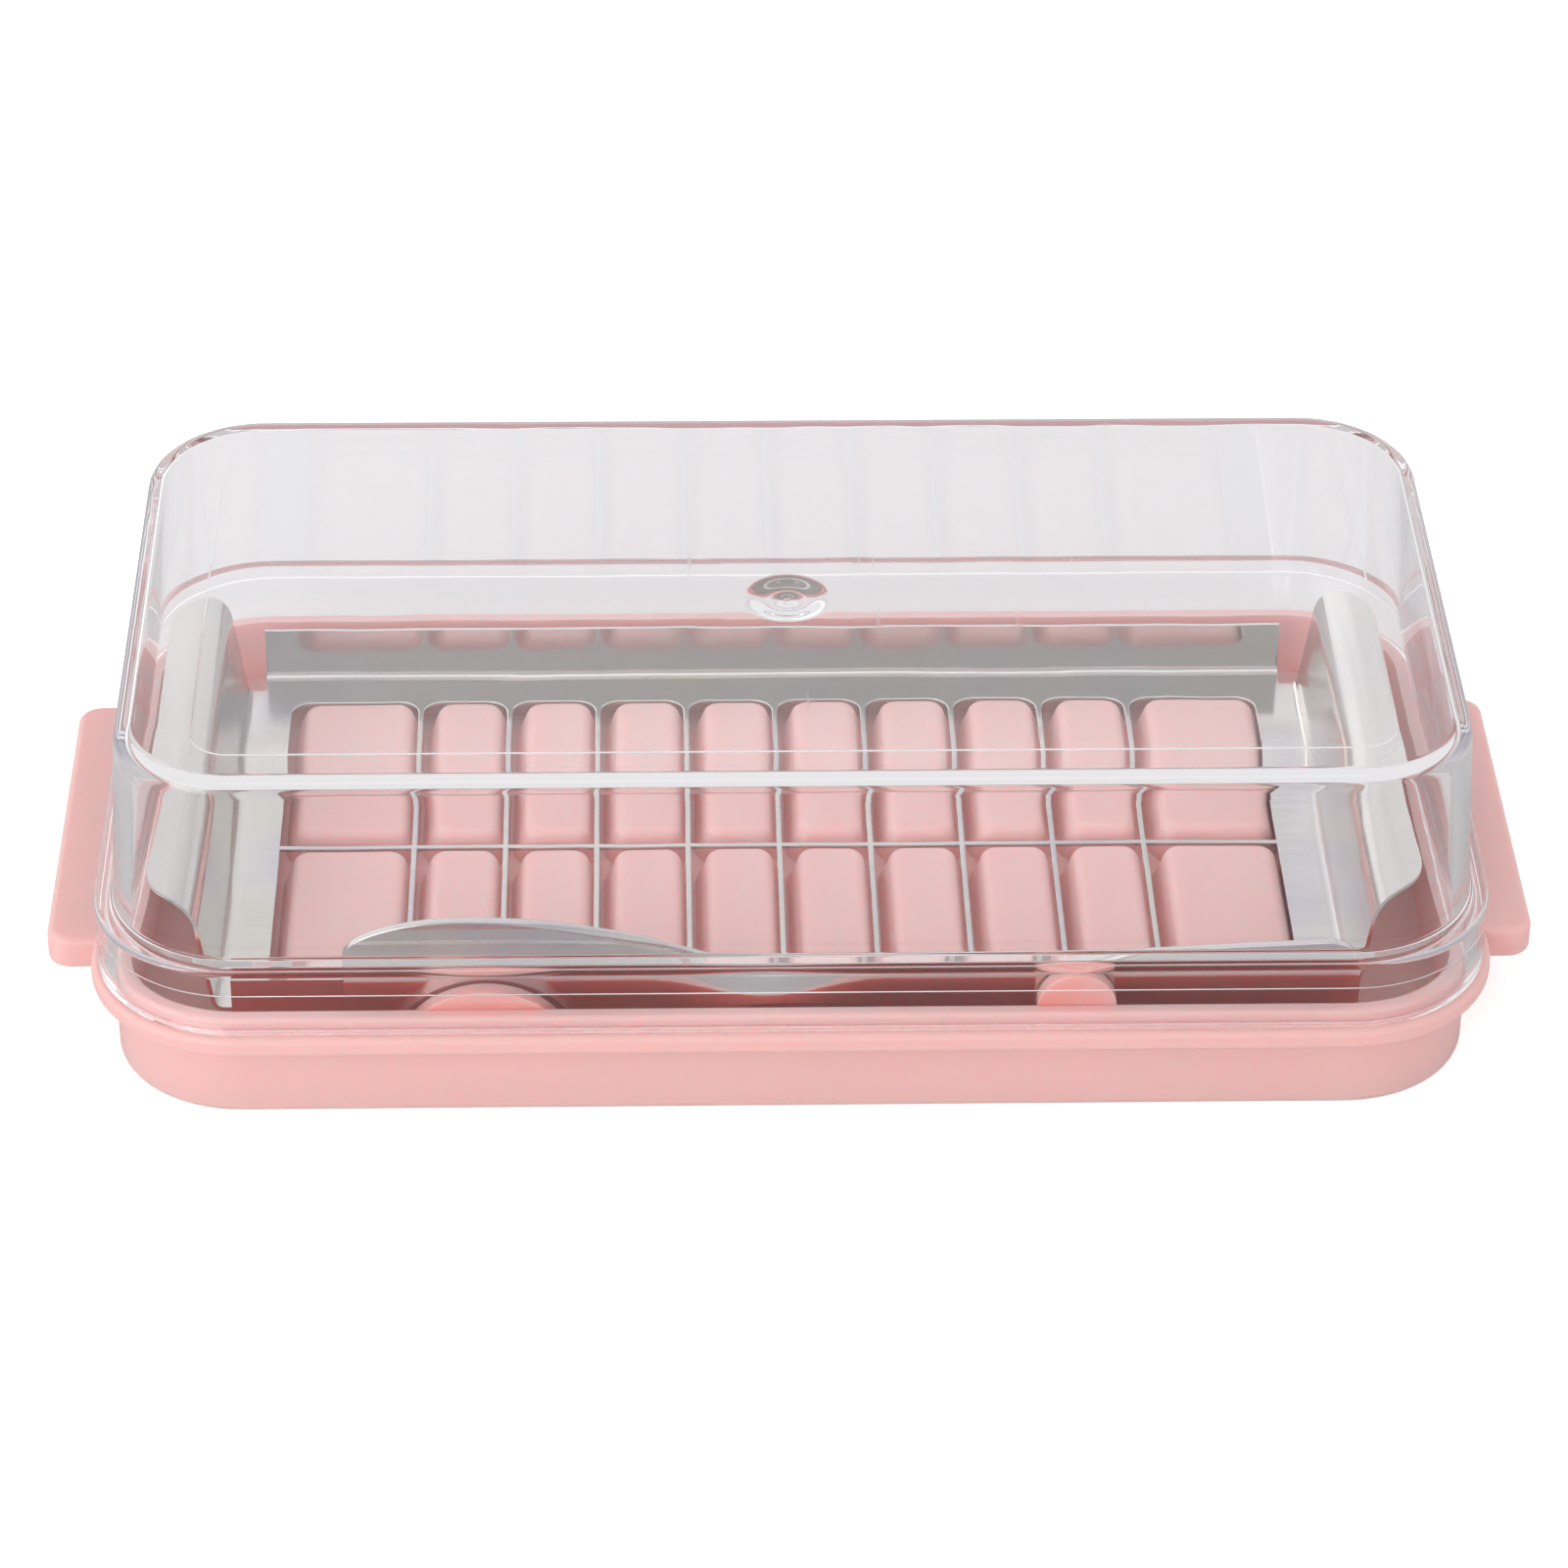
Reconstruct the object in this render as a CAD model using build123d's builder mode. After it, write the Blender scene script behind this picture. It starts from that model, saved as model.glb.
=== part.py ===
from build123d import *
import math
import os

# Butter dish with a press-through cutter, in millimetres.
# +X along the dish, +Y to the back, +Z up. The origin is the middle of the footprint on the table.

# Tray: the cavity takes the cutter and the knife, and every wall is laid outside it
CAVITY_CORNER = 14.5
BODY_WALL = 2.2
BODY_HEIGHT = 10.6
BODY_FOOT_ROUND = 1.0
FLOOR_LIFT = 3.3
FLOOR_THICKNESS = 2.2
FLANGE_THICKNESS = 2.7
FLANGE_MARGIN = 0.95
FLANGE_ROUND = 0.9
UPSTAND_THICKNESS = 1.85
UPSTAND_HEIGHT = 1.4
UPSTAND_ROUND = 0.6
WING_REACH = 6.1
WING_WIDTH = 55.8
WING_THICKNESS = 4.5
WING_CORNER = 3.0
WING_ROUND = 0.8

# Lid: one clear shell that rests on the flange, over the upstand
LID_FIT = 0.4
LID_WALL = 2.0
SKIRT_HEIGHT = 10.1
SEAT_DEPTH = 5.2
SEAT_STEP = 0.25
SHOULDER_STEP = 2.45
SHOULDER_ROUND = 1.1
SHOULDER_BLEND = 0.8
DOME_HEIGHT = 24.9
DOME_DRAFT = 3.4
DOME_ROUND = 1.8
CORE_ROUND = 1.2
PANEL_END_MARGIN = 9.7
PANEL_SIDE_MARGIN = 7.7
PANEL_CORNER = 5.0
PANEL_BEVEL = 1.6
PANEL_RISE = 0.45
GATE_DISH_RADIUS = 5.45
GATE_DISH_DEPTH = 0.95
GATE_SHIFT = -2.2
GATE_NUB_RADIUS = 0.8
GATE_NUB_HEIGHT = 0.6
GATE_NUB_ROOT = 0.3

# Cutter: one pressed sheet
SHEET = 0.5
CUTTER_SHIFT = -0.95
SLOT_PITCH = 12.1
INNER_COLUMNS = 8
END_SLOT_LENGTH = 17.3
SLOT_WIDTH = 32.4
WEB = 0.8
CROSS_WEB = 0.8
SLOT_OUTER_CORNER = 2.75
SLOT_INNER_CORNER = 1.0
SLOT_EDGE_ROUND = 0.2
SLOT_MARGIN = 7.3
SIDE_WALL_HEIGHT = 7.4
SIDE_WALL_MARGIN = 3.9
SIDE_BEND = 0.9
END_FLOOR = 6.6
END_WALL_LEAN = 2.4
END_BEND = 1.5
HANDLE_HEIGHT = 16.0
HANDLE_REACH = 6.3
HANDLE_GAP = 2.8
HANDLE_BEND = 4.0
HANDLE_WIDTH = 72.0
HANDLE_CORNER = 8.5
SHEET_ABOVE_FLOOR = 3.0

# Pads fill the slots from below, and rails carry the sheet
PAD_GAP = 1.65
PAD_SHIFT = -0.3
PAD_RISE = 0.95
PAD_CORNER = 1.8
PAD_DRAFT = 22.0
PAD_ROUND = 1.4
PAD_SKIN = 1.8
RAIL_WIDTH = 2.0
RAIL_END_MARGIN = 1.8

# Butter knife, on its edge in the front channel
KNIFE_THICKNESS = 1.0
KNIFE_WALL_GAP = 1.3
KNIFE_TIP_X = -56.6
BLADE_LENGTH = 53.0
BLADE_WIDTH = 21.6
NOSE_LOW = 6.0
NOSE_HIGH = 15.6
NOSE_RUN = 12.0
BROW_RUN = 15.6
EDGE_LENGTH = 16.0
SPINE_MIDDLE_RUN = 36.6
SPINE_MIDDLE_HEIGHT = 18.5
NECK_WIDTH = 5.0
NECK_LIFT = 8.0
GRIP_LENGTH = 74.8
GRIP_SEAT = 12.0
HANDLE_END_WIDTH = 17.2
HANDLE_END_SLOPE = 0.03
HANDLE_END_ROUND = 4.5
KNIFE_EDGE_ROUND = 0.3

# Saddles on the tray's front wall keep the knife upright
SADDLE_GAP = 0.35
SADDLE_DEPTH = 2.15
SADDLE_X = -38.8
SADDLE_RADIUS = 11.8
POST_X = 35.4
POST_RADIUS = 5.0
POST_HEIGHT = 13.7

# Levels
floor_top = FLOOR_LIFT + FLOOR_THICKNESS
sheet_bottom = floor_top + SHEET_ABOVE_FLOOR
sheet_top = sheet_bottom + SHEET
pad_height = SHEET_ABOVE_FLOOR + SHEET + PAD_RISE
handle_bottom = sheet_bottom + HANDLE_HEIGHT
flange_top = BODY_HEIGHT + FLANGE_THICKNESS
wing_bottom = flange_top - WING_THICKNESS
shoulder_z = flange_top + SKIRT_HEIGHT
dome_top = shoulder_z + DOME_HEIGHT
panel_top = dome_top + PANEL_RISE

# The slots, as middle, length and side for each row and column
inner_slot_length = SLOT_PITCH - WEB
end_slot_near = (INNER_COLUMNS * SLOT_PITCH + WEB) / 2
slot_near = CROSS_WEB / 2
slot_y = slot_near + SLOT_WIDTH / 2
inner_slot_places = [
    (SLOT_PITCH * (column - (INNER_COLUMNS - 1) / 2), side * slot_y)
    for column in range(INNER_COLUMNS)
    for side in (-1, 1)
]
end_slot_places = [
    (end * (end_slot_near + END_SLOT_LENGTH / 2), side * slot_y) for end in (-1, 1) for side in (-1, 1)
]

# The sheet's walls and handles, outside the slots
slot_end = end_slot_near + END_SLOT_LENGTH
side_wall_x = slot_end + SIDE_WALL_MARGIN
side_wall_y = slot_near + SLOT_WIDTH + SLOT_MARGIN
end_wall_x = slot_end + END_FLOOR
handle_root_x = end_wall_x + END_WALL_LEAN
handle_x = handle_root_x + HANDLE_REACH

# Knife and saddles in front of the sheet, and the cavity around them all
knife_back_y = -(side_wall_y + KNIFE_WALL_GAP)
knife_front_y = knife_back_y - KNIFE_THICKNESS
saddle_back_y = knife_front_y - SADDLE_GAP
cavity_y = SADDLE_DEPTH - saddle_back_y
cavity_x = handle_x + HANDLE_GAP

# Walls laid outside the cavity, as distances from its wall
upstand_out = UPSTAND_THICKNESS
lid_inner_out = upstand_out + LID_FIT
lid_outer_out = lid_inner_out + LID_WALL
flange_out = lid_outer_out + FLANGE_MARGIN
dome_out = lid_outer_out - SHOULDER_STEP
dome_top_out = dome_out - DOME_HEIGHT * math.tan(math.radians(DOME_DRAFT))
core_out = dome_out - LID_WALL
wing_x = cavity_x + flange_out + WING_REACH
panel_x = cavity_x + dome_top_out - PANEL_END_MARGIN
panel_y = cavity_y + dome_top_out - PANEL_SIDE_MARGIN
panel_top_x = panel_x - PANEL_BEVEL
panel_top_y = panel_y - PANEL_BEVEL

# Outline points of the knife, in its own plane
neck_x = KNIFE_TIP_X + BLADE_LENGTH
knife_end_x = neck_x + GRIP_LENGTH
edge_end_x = KNIFE_TIP_X + NOSE_RUN + EDGE_LENGTH
spine_start = (KNIFE_TIP_X + BROW_RUN, floor_top + BLADE_WIDTH)
spine_middle = (KNIFE_TIP_X + SPINE_MIDDLE_RUN, floor_top + SPINE_MIDDLE_HEIGHT)
neck_bottom = (neck_x, floor_top + NECK_LIFT)
neck_top = (neck_x, floor_top + NECK_LIFT + NECK_WIDTH)
butt_top = (knife_end_x, floor_top + HANDLE_END_WIDTH)


def cavity_plan(outside: float) -> None:
    """Draw the cavity's rounded outline, moved outwards by a distance."""
    RectangleRounded(2 * (cavity_x + outside), 2 * (cavity_y + outside), CAVITY_CORNER + outside)


def pad_blank(length: float, width: float, height: float, corner: float) -> Part:
    """Make one drafted pad that stands on the plane Z = 0 and has the given size at its top."""
    spread = 2 * height * math.tan(math.radians(PAD_DRAFT))
    with BuildPart() as blank:
        with BuildSketch():
            RectangleRounded(length + spread, width + spread, corner + spread / 2)
        extrude(amount=height, taper=PAD_DRAFT)
    return blank.part


def rounded_pad(slot_length: float) -> Part:
    """Make the pad that fills a slot of the given length, with its top edge rounded."""
    with BuildPart() as pad:
        add(pad_blank(slot_length - 2 * PAD_GAP, SLOT_WIDTH - 2 * PAD_GAP, pad_height, PAD_CORNER))
        fillet(pad.faces().sort_by(Axis.Z)[-1].edges(), PAD_ROUND)
    return pad.part


def pad_core(slot_length: float) -> Part:
    """Make the hollow that keeps a pad's skin even, as seen from below."""
    inset = 2 * (PAD_GAP + PAD_SKIN)
    height = pad_height + FLOOR_THICKNESS - PAD_SKIN
    return pad_blank(slot_length - inset, SLOT_WIDTH - inset, height, PAD_CORNER / 2)


with BuildPart() as tray:
    # Flange and wings, rounded above and below
    with BuildSketch(Plane.XY.offset(BODY_HEIGHT)):
        cavity_plan(flange_out)
    extrude(amount=FLANGE_THICKNESS)
    with BuildSketch(Plane.XY.offset(wing_bottom)):
        RectangleRounded(2 * wing_x, WING_WIDTH, WING_CORNER)
    extrude(amount=WING_THICKNESS)
    rim_underside = tray.edges().filter_by_position(Axis.Z, BODY_HEIGHT, BODY_HEIGHT)
    fillet([edge for edge in rim_underside if abs(edge.center().Y) > WING_WIDTH / 2], FLANGE_ROUND)
    fillet(tray.faces().sort_by(Axis.Z)[0].edges(), WING_ROUND)
    fillet(tray.faces().sort_by(Axis.Z)[-1].edges(), FLANGE_ROUND)

    # Body below the flange
    with BuildSketch():
        cavity_plan(BODY_WALL)
    extrude(amount=BODY_HEIGHT)
    fillet(tray.faces().sort_by(Axis.Z)[0].edges(), BODY_FOOT_ROUND)

    # Upstand, cavity and the recess under the floor
    with BuildSketch(Plane.XY.offset(flange_top)):
        cavity_plan(upstand_out)
    extrude(amount=UPSTAND_HEIGHT)
    fillet(tray.faces().sort_by(Axis.Z)[-1].edges(), UPSTAND_ROUND)
    with BuildSketch(Plane.XY.offset(floor_top)):
        cavity_plan(0)
    extrude(amount=flange_top + UPSTAND_HEIGHT - floor_top, mode=Mode.SUBTRACT)
    with BuildSketch():
        cavity_plan(0)
    extrude(amount=FLOOR_LIFT, mode=Mode.SUBTRACT)

    # Pads under the slots, cored from below
    for slot_length, places in ((inner_slot_length, inner_slot_places), (END_SLOT_LENGTH, end_slot_places)):
        with Locations(*[(x + PAD_SHIFT, y, floor_top) for x, y in places]):
            add(rounded_pad(slot_length))
        with Locations(*[(x + PAD_SHIFT, y, FLOOR_LIFT) for x, y in places]):
            add(pad_core(slot_length), mode=Mode.SUBTRACT)

    # Rails that carry the sheet's margins
    rail_y = side_wall_y - SLOT_MARGIN / 2
    rail_x = end_wall_x - END_FLOOR / 2
    with BuildSketch(Plane.XY.offset(floor_top)):
        with Locations((0, rail_y), (0, -rail_y)):
            Rectangle(2 * (slot_end - RAIL_END_MARGIN), RAIL_WIDTH)
        with Locations((rail_x, 0), (-rail_x, 0)):
            Rectangle(RAIL_WIDTH, 2 * (slot_near + SLOT_WIDTH - RAIL_END_MARGIN))
    extrude(amount=SHEET_ABOVE_FLOOR)

    # Saddle and post in front of the knife
    with BuildSketch(Plane.XZ.offset(-saddle_back_y)):
        with Locations((SADDLE_X, floor_top)):
            Circle(SADDLE_RADIUS)
        with Locations((SADDLE_X, floor_top - SADDLE_RADIUS)):
            Rectangle(2 * SADDLE_RADIUS, 2 * SADDLE_RADIUS, mode=Mode.SUBTRACT)
        with Locations((POST_X, floor_top + POST_HEIGHT - POST_RADIUS)):
            Circle(POST_RADIUS)
        with Locations((POST_X, floor_top + (POST_HEIGHT - POST_RADIUS) / 2)):
            Rectangle(2 * POST_RADIUS, POST_HEIGHT - POST_RADIUS)
    extrude(amount=SADDLE_DEPTH)


with BuildPart() as lid_core:
    # The space inside the lid: seat over the upstand, skirt, and drafted dome
    with BuildSketch(Plane.XY.offset(flange_top)):
        cavity_plan(lid_inner_out)
    extrude(amount=SEAT_DEPTH)
    with BuildSketch(Plane.XY.offset(flange_top)):
        cavity_plan(lid_inner_out - SEAT_STEP)
    extrude(amount=SKIRT_HEIGHT - LID_WALL)
    fillet(lid_core.faces().sort_by(Axis.Z)[-1].edges(), SHOULDER_BLEND)
    with BuildSketch(Plane.XY.offset(shoulder_z - LID_WALL)):
        cavity_plan(core_out)
    extrude(amount=DOME_HEIGHT, taper=DOME_DRAFT)
    fillet(lid_core.faces().sort_by(Axis.Z)[-1].edges(), CORE_ROUND)


with BuildPart() as lid:
    with BuildSketch(Plane.XY.offset(flange_top)):
        cavity_plan(lid_outer_out)
    extrude(amount=SKIRT_HEIGHT)
    fillet(lid.faces().sort_by(Axis.Z)[-1].edges(), SHOULDER_ROUND)
    with BuildSketch(Plane.XY.offset(shoulder_z)):
        cavity_plan(dome_out)
    extrude(amount=DOME_HEIGHT, taper=DOME_DRAFT)
    shoulder = lid.faces().filter_by(Axis.Z).sort_by(Axis.Z)[-2]
    fillet(shoulder.inner_wires()[0].edges(), SHOULDER_BLEND)
    fillet(lid.faces().sort_by(Axis.Z)[-1].edges(), DOME_ROUND)

    # Raised panel with a bevelled rim
    with BuildSketch(Plane.XY.offset(dome_top)):
        RectangleRounded(2 * panel_x, 2 * panel_y, PANEL_CORNER)
    with BuildSketch(Plane.XY.offset(panel_top)):
        RectangleRounded(2 * panel_top_x, 2 * panel_top_y, PANEL_CORNER - PANEL_BEVEL)
    loft(ruled=True)

    # Gate dimple: a shallow dish with a nub in it
    dish_bottom = panel_top - GATE_DISH_DEPTH
    dish_sphere_radius = (GATE_DISH_RADIUS**2 + GATE_DISH_DEPTH**2) / (2 * GATE_DISH_DEPTH)
    with Locations((0, GATE_SHIFT, dish_bottom + dish_sphere_radius)):
        Sphere(dish_sphere_radius, mode=Mode.SUBTRACT)
    with BuildSketch(Plane.XY.offset(dish_bottom - GATE_NUB_ROOT)):
        with Locations((0, GATE_SHIFT)):
            Circle(GATE_NUB_RADIUS)
    extrude(amount=GATE_NUB_ROOT + GATE_NUB_HEIGHT)

    add(lid_core.part, mode=Mode.SUBTRACT)


with BuildPart() as cutter:
    # Front and back walls bent up from the floor
    with BuildSketch(Plane.YZ.offset(CUTTER_SHIFT - side_wall_x)):
        with BuildLine():
            side_section = FilletPolyline(
                (-side_wall_y, sheet_top + SIDE_WALL_HEIGHT),
                (-side_wall_y, sheet_bottom),
                (side_wall_y, sheet_bottom),
                (side_wall_y, sheet_top + SIDE_WALL_HEIGHT),
                radius=SIDE_BEND + SHEET,
            )
            offset(side_section, amount=SHEET, side=Side.LEFT, closed=True)
        make_face()
    extrude(amount=2 * side_wall_x)

    # End walls that lean out and curl into the handle flanges
    with BuildSketch(Plane((CUTTER_SHIFT, HANDLE_WIDTH / 2, 0), x_dir=(1, 0, 0), z_dir=(0, -1, 0))):
        with BuildLine():
            end_section = FilletPolyline(
                (-handle_x, handle_bottom),
                (-handle_root_x, handle_bottom),
                (-end_wall_x, sheet_bottom),
                (end_wall_x, sheet_bottom),
                (handle_root_x, handle_bottom),
                (handle_x, handle_bottom),
                radius=[HANDLE_BEND, END_BEND, END_BEND, HANDLE_BEND],
            )
            offset(end_section, amount=SHEET, side=Side.LEFT, closed=True)
        make_face()
    extrude(amount=HANDLE_WIDTH)

    # Round the handles' corners in plan
    with BuildSketch(Plane((CUTTER_SHIFT, 0, sheet_bottom))):
        Rectangle(2 * side_wall_x, 2 * side_wall_y)
        RectangleRounded(2 * handle_x, HANDLE_WIDTH, HANDLE_CORNER)
    extrude(amount=HANDLE_HEIGHT + SHEET, mode=Mode.INTERSECT)

    # Slots, with wide corners at the walls and small ones at the cross web
    with BuildSketch(Plane((CUTTER_SHIFT, 0, sheet_bottom))) as slots:
        with Locations(*inner_slot_places):
            Rectangle(inner_slot_length, SLOT_WIDTH)
        with Locations(*end_slot_places):
            Rectangle(END_SLOT_LENGTH, SLOT_WIDTH)
        fillet([corner for corner in slots.vertices() if abs(corner.Y) > slot_y], SLOT_OUTER_CORNER)
        fillet([corner for corner in slots.vertices() if abs(corner.Y) == slot_near], SLOT_INNER_CORNER)
    extrude(amount=SHEET, mode=Mode.SUBTRACT)
    floor_face = cutter.faces().filter_by(Axis.Z).group_by(Axis.Z)[1].sort_by(SortBy.AREA)[-1]
    fillet(floor_face.inner_wires().edges(), SLOT_EDGE_ROUND)


with BuildPart() as butter_knife:
    with BuildSketch(Plane.XZ.offset(-knife_back_y)) as blank:
        with BuildLine():
            nose = Line((KNIFE_TIP_X, floor_top + NOSE_LOW), (KNIFE_TIP_X, floor_top + NOSE_HIGH))
            brow = Spline(nose @ 1, spine_start, tangents=[(0, 1), (1, 0)])
            spine = Spline(brow @ 1, spine_middle, neck_top, tangents=[(1, 0), (1, 0)])
            grip_top = Spline(spine @ 1, butt_top, tangents=[(1, 0), (1, HANDLE_END_SLOPE)])
            butt = Line(grip_top @ 1, (knife_end_x, floor_top))
            heel = Line(butt @ 1, (knife_end_x - GRIP_SEAT, floor_top))
            grip_bottom = Spline(heel @ 1, neck_bottom, tangents=[(-1, 0), (-1, 0)])
            throat = Spline(grip_bottom @ 1, (edge_end_x, floor_top), tangents=[(-1, 0), (-1, 0)])
            edge = Line(throat @ 1, (KNIFE_TIP_X + NOSE_RUN, floor_top))
            Spline(edge @ 1, nose @ 0, tangents=[(-1, 0), (0, 1)])
        make_face()
        fillet(blank.vertices().group_by(Axis.X)[-1], HANDLE_END_ROUND)
    extrude(amount=KNIFE_THICKNESS)
    fillet(butter_knife.faces().filter_by(Axis.Y).edges(), KNIFE_EDGE_ROUND)


os.makedirs("parts", exist_ok=True)
for name, piece in (("tray", tray), ("lid", lid), ("cutter", cutter), ("butter_knife", butter_knife)):
    piece.part.label = name
    export_step(piece.part, f"parts/{name}.step")
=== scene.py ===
"""Butter dish with a press-through cutter: its looks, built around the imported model."""

import logging
import math
from collections.abc import Callable
from dataclasses import dataclass
from enum import Enum

import bmesh
import bpy
from mathutils import Matrix, Vector


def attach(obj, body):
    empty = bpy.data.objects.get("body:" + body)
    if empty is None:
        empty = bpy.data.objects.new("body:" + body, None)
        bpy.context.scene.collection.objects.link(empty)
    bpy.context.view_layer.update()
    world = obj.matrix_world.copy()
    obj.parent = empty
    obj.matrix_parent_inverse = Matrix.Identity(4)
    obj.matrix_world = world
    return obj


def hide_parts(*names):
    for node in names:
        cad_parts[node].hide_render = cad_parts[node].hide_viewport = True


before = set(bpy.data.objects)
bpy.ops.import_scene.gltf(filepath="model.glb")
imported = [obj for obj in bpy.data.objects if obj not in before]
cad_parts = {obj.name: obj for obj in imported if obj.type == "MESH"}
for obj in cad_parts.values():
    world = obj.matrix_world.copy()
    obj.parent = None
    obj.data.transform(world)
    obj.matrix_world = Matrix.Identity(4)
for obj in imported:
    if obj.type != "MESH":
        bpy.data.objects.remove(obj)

MM = 0.001
CLOSE = 0.04
SOFT = (0.3, 0.7)
CLOUDS = 45.0
ASIDE = 100.0
Colour = tuple[float, float, float, float]
Span = tuple[float, float]
Socket = bpy.types.NodeSocket
log = logging.getLogger("butter_dish")


class Pick(Enum):
    """What an edit-mode operator works on."""

    POINTS = "VERT"
    EDGES = "EDGE"
    FACES = "FACE"


# ------------------------------------------------------------------ shaping


@dataclass(frozen=True)
class Outline:
    """A rounded rectangle in plan, in millimetres. A circle is one that is all corner."""

    half_x: float
    half_y: float
    corner: float
    middle: tuple[float, float] = (0.0, 0.0)

    def distance(self, point: Vector) -> float:
        """Say how far a point is outside the outline, seen from above.

        Args:
            point: The point, in millimetres.

        Returns:
            The distance, negative inside.
        """
        past_x = abs(point.x - self.middle[0]) - (self.half_x - self.corner)
        past_y = abs(point.y - self.middle[1]) - (self.half_y - self.corner)
        outside = math.hypot(max(past_x, 0.0), max(past_y, 0.0))
        return outside + min(max(past_x, past_y), 0.0) - self.corner

    def grown(self, by: float) -> "Outline":
        """Give the outline that runs outside this one at an even distance."""
        return Outline(self.half_x + by, self.half_y + by, self.corner + by, self.middle)

    def at(self, height: float, outside: float = 0.0) -> Callable[[Vector], bool]:
        """Make a test for points on a ring that follows this outline.

        Args:
            height: The ring's Z.
            outside: The ring's distance outside the outline.

        Returns:
            A test that is true on the ring.
        """
        return lambda p: abs(p.z - height) < CLOSE and abs(self.distance(p) - outside) < CLOSE


class Bench:
    """A mesh that is shaped in millimetres by edit-mode operators, on what is picked by place."""

    def __init__(self, name: str) -> None:
        """Take the primitive that was just added and open it for editing.

        Args:
            name: The finished piece's name.
        """
        self.piece = bpy.context.object
        self.piece.name = name
        self.piece.data.name = name
        bpy.ops.object.mode_set(mode="EDIT")
        bpy.ops.mesh.select_all(action="SELECT")

    def pick(self, kind: Pick, wanted: Callable[[Vector], bool]) -> int:
        """Select the points, edges or faces that lie where a test says.

        Args:
            kind: What to select.
            wanted: The test that every point of the item passes.

        Returns:
            How many were selected.
        """
        bpy.ops.mesh.select_mode(type=kind.value)
        bpy.ops.mesh.select_all(action="DESELECT")
        mesh = bmesh.from_edit_mesh(self.piece.data)
        items = {Pick.POINTS: mesh.verts, Pick.EDGES: mesh.edges, Pick.FACES: mesh.faces}[kind]
        found = 0
        for item in items:
            points = [item] if kind is Pick.POINTS else item.verts
            if all(wanted(point.co) for point in points):
                item.select_set(True)
                found += 1
        mesh.select_flush_mode()
        if kind is Pick.POINTS:
            mesh.select_flush(True)
        bmesh.update_edit_mesh(self.piece.data)
        return found

    def step(self, inwards: float, along: float = 0.0) -> None:
        """Inset the picked face, and move it along its normal.

        Args:
            inwards: The width of the new ring, in millimetres.
            along: How far the face moves outwards from the solid.
        """
        bpy.ops.mesh.inset(thickness=inwards, depth=along, use_even_offset=True)

    def round_ring(self, ring: Callable[[Vector], bool], radius: float, segments: int = 5) -> None:
        """Round the edges of a ring.

        Args:
            ring: The test for the ring's points.
            radius: The radius, in millimetres.
            segments: The number of facets across the round.
        """
        if not self.pick(Pick.EDGES, ring):
            raise ValueError(f"{self.piece.name}: no edges where a round of {radius} mm should be")
        bpy.ops.mesh.bevel(
            affect="EDGES", offset_type="OFFSET", offset=radius, segments=segments, profile=0.5
        )

    def finish(self, body: str, replaced: str, slot: str, material: bpy.types.Material) -> bpy.types.Object:
        """Close the piece: metres, outward normals, even shading, finish and body.

        Args:
            body: The body that it rides on.
            replaced: The CAD node that it stands for.
            slot: The record's material slot; not used.
            material: Its finish.

        Returns:
            The finished piece.
        """
        bpy.ops.mesh.select_all(action="SELECT")
        bpy.ops.mesh.remove_doubles(threshold=CLOSE / 10)
        bpy.ops.mesh.normals_make_consistent(inside=False)
        bpy.ops.transform.resize(value=(MM, MM, MM), center_override=(0.0, 0.0, 0.0))
        bpy.ops.object.mode_set(mode="OBJECT")
        bpy.ops.object.shade_smooth()
        even = self.piece.modifiers.new("even_shading", "WEIGHTED_NORMAL")
        even.keep_sharp = True
        bpy.ops.object.modifier_apply(modifier=even.name)
        self.piece.data.materials.clear()
        self.piece.data.materials.append(material)
        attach(self.piece, body)
        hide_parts(replaced)
        self.piece.select_set(False)
        return self.piece


def fresh_plate(name: str, outline: Outline, height: float, segments: int) -> Bench:
    """Lay a flat plate with rounded corners on the bench.

    Args:
        name: The finished piece's name.
        outline: Its outline in plan.
        height: Its Z.
        segments: The number of facets round each corner.

    Returns:
        The bench, with the plate selected.
    """
    bpy.ops.object.select_all(action="DESELECT")
    bpy.ops.mesh.primitive_plane_add(size=2.0)
    bench = Bench(name)
    shape_plate(outline, height, segments)
    return bench


def ease(value: float, start: tuple[float, float], stop: tuple[float, float], slope: float = 0.0) -> float:
    """Go smoothly from one level to another as a value goes from one place to another.

    Args:
        value: Where along the way.
        start: The first place and its level.
        stop: The last place and its level, which is reached level.
        slope: The slope at the start.

    Returns:
        The level there.
    """
    share = min(1.0, max(0.0, (value - start[0]) / (stop[0] - start[0])))
    leaving = slope * (stop[0] - start[0]) * share * (1 - share) ** 2
    return start[1] + (stop[1] - start[1]) * share * share * (3 - 2 * share) + leaving


def shape_plate(outline: Outline, height: float, segments: int) -> None:
    """Bring a selected plane of 2 by 2 at the origin to an outline and a height.

    Args:
        outline: The outline in plan.
        height: The Z that it moves to.
        segments: The number of facets round each corner.
    """
    bpy.ops.transform.resize(value=(outline.half_x, outline.half_y, 1.0), center_override=(0.0, 0.0, 0.0))
    bpy.ops.transform.translate(value=(*outline.middle, height))
    bpy.ops.mesh.bevel(affect="VERTICES", offset=outline.corner, segments=segments, profile=0.5)


# ----------------------------------------------------------------- finishes


def linear(red: int, green: int, blue: int) -> Colour:
    """Turn an 8-bit display colour into the linear colour that a socket takes."""

    def channel(value: int) -> float:
        """Undo the display curve of one channel."""
        share = value / 255
        return share / 12.92 if share <= 0.04045 else ((share + 0.055) / 1.055) ** 2.4

    return (channel(red), channel(green), channel(blue), 1.0)


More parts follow.
